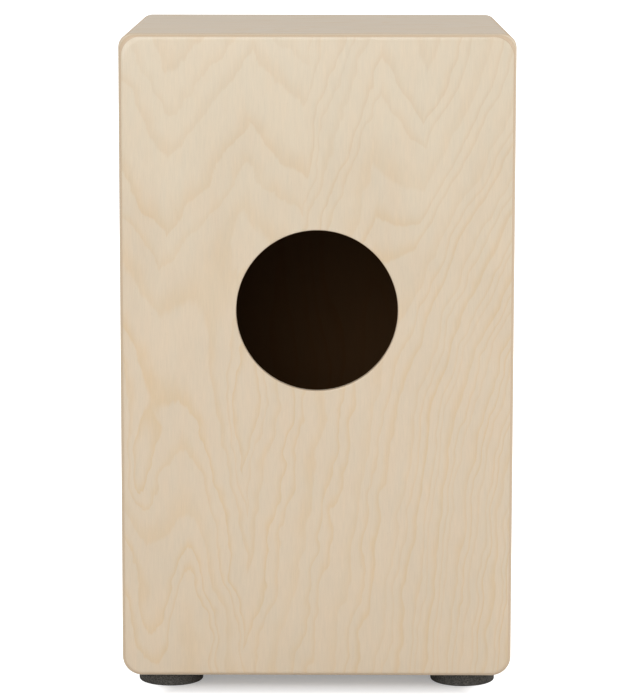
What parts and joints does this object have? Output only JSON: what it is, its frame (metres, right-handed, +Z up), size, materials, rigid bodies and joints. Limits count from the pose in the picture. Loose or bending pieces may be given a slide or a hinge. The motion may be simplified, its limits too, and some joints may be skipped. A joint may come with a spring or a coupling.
{
  "type": "cajon",
  "caption": "Box drum to sit on: birch plywood body with rounded corners, a round sound hole in the rear, a screwed playing panel, rubber feet and a pull-out snare inside.",
  "frame": {"origin": "on the floor, under the middle of the box", "axes": "+Z up; -Y towards the rear face with the sound hole; +Y towards the playing face (tapa); +X to the right when looking at the sound hole"},
  "size_m": [0.3, 0.3, 0.506],
  "materials": {
    "birch_plywood": "satin clear lacquer over pale rotary-cut birch plywood",
    "spruce": "bare planed softwood",
    "beech": "bare planed hardwood",
    "foot_rubber": "matt speckled foam rubber",
    "zinced_steel": "bright zinc plate",
    "black_steel": "black oxide, satin",
    "snare_wire": "bright drawn spring wire on a plated end plate",
    "pad_fabric": "black hook-and-loop fabric"
  },
  "bodies": {
    "box": {"rear_panel": "birch_plywood", "tapa": "birch_plywood", "left_side_panel": "birch_plywood", "right_side_panel": "birch_plywood", "top_panel": "birch_plywood", "bottom_panel": "birch_plywood", "corner_batten_bottom_left": "spruce", "corner_batten_bottom_right": "spruce", "corner_batten_top_left": "spruce", "corner_batten_top_right": "spruce", "foot_front_left": "foot_rubber", "foot_front_right": "foot_rubber", "foot_rear_left": "foot_rubber", "foot_rear_right": "foot_rubber", "foot_screw_front_left": "zinced_steel", "foot_screw_front_right": "zinced_steel", "foot_screw_rear_left": "zinced_steel", "foot_screw_rear_right": "zinced_steel", "foot_washer_front_left": "zinced_steel", "foot_washer_front_right": "zinced_steel", "foot_washer_rear_left": "zinced_steel", "foot_washer_rear_right": "zinced_steel", "hook_pad_left": "pad_fabric", "hook_pad_right": "pad_fabric", "snare_block_left": "beech", "snare_block_right": "beech", "snare_block_screw_left_1": "zinced_steel", "snare_block_screw_left_2": "zinced_steel", "snare_block_screw_right_1": "zinced_steel", "snare_block_screw_right_2": "zinced_steel", "tapa_screw_bottom_1": "black_steel", "tapa_screw_bottom_2": "black_steel", "tapa_screw_bottom_3": "black_steel", "tapa_screw_bottom_4": "black_steel", "tapa_screw_left_1": "black_steel", "tapa_screw_left_2": "black_steel", "tapa_screw_left_3": "black_steel", "tapa_screw_left_4": "black_steel", "tapa_screw_right_1": "black_steel", "tapa_screw_right_2": "black_steel", "tapa_screw_right_3": "black_steel", "tapa_screw_right_4": "black_steel", "tapa_screw_top_1": "black_steel", "tapa_screw_top_2": "black_steel", "tapa_screw_top_3": "black_steel", "tapa_screw_top_4": "black_steel"},
    "snare_unit": {"loop_pad_left": "pad_fabric", "loop_pad_right": "pad_fabric", "snare_bar": "beech", "snare_screw_left_1": "zinced_steel", "snare_screw_left_2": "zinced_steel", "snare_screw_right_1": "zinced_steel", "snare_screw_right_2": "zinced_steel", "snare_set_left": "snare_wire", "snare_set_right": "snare_wire"}
  },
  "joints": [
    {"name": "snare_unit_pull", "type": "slide", "parent": "box", "child": "snare_unit", "axis": [0, -1, 0], "range_m": [0, 0.2]}
  ]
}
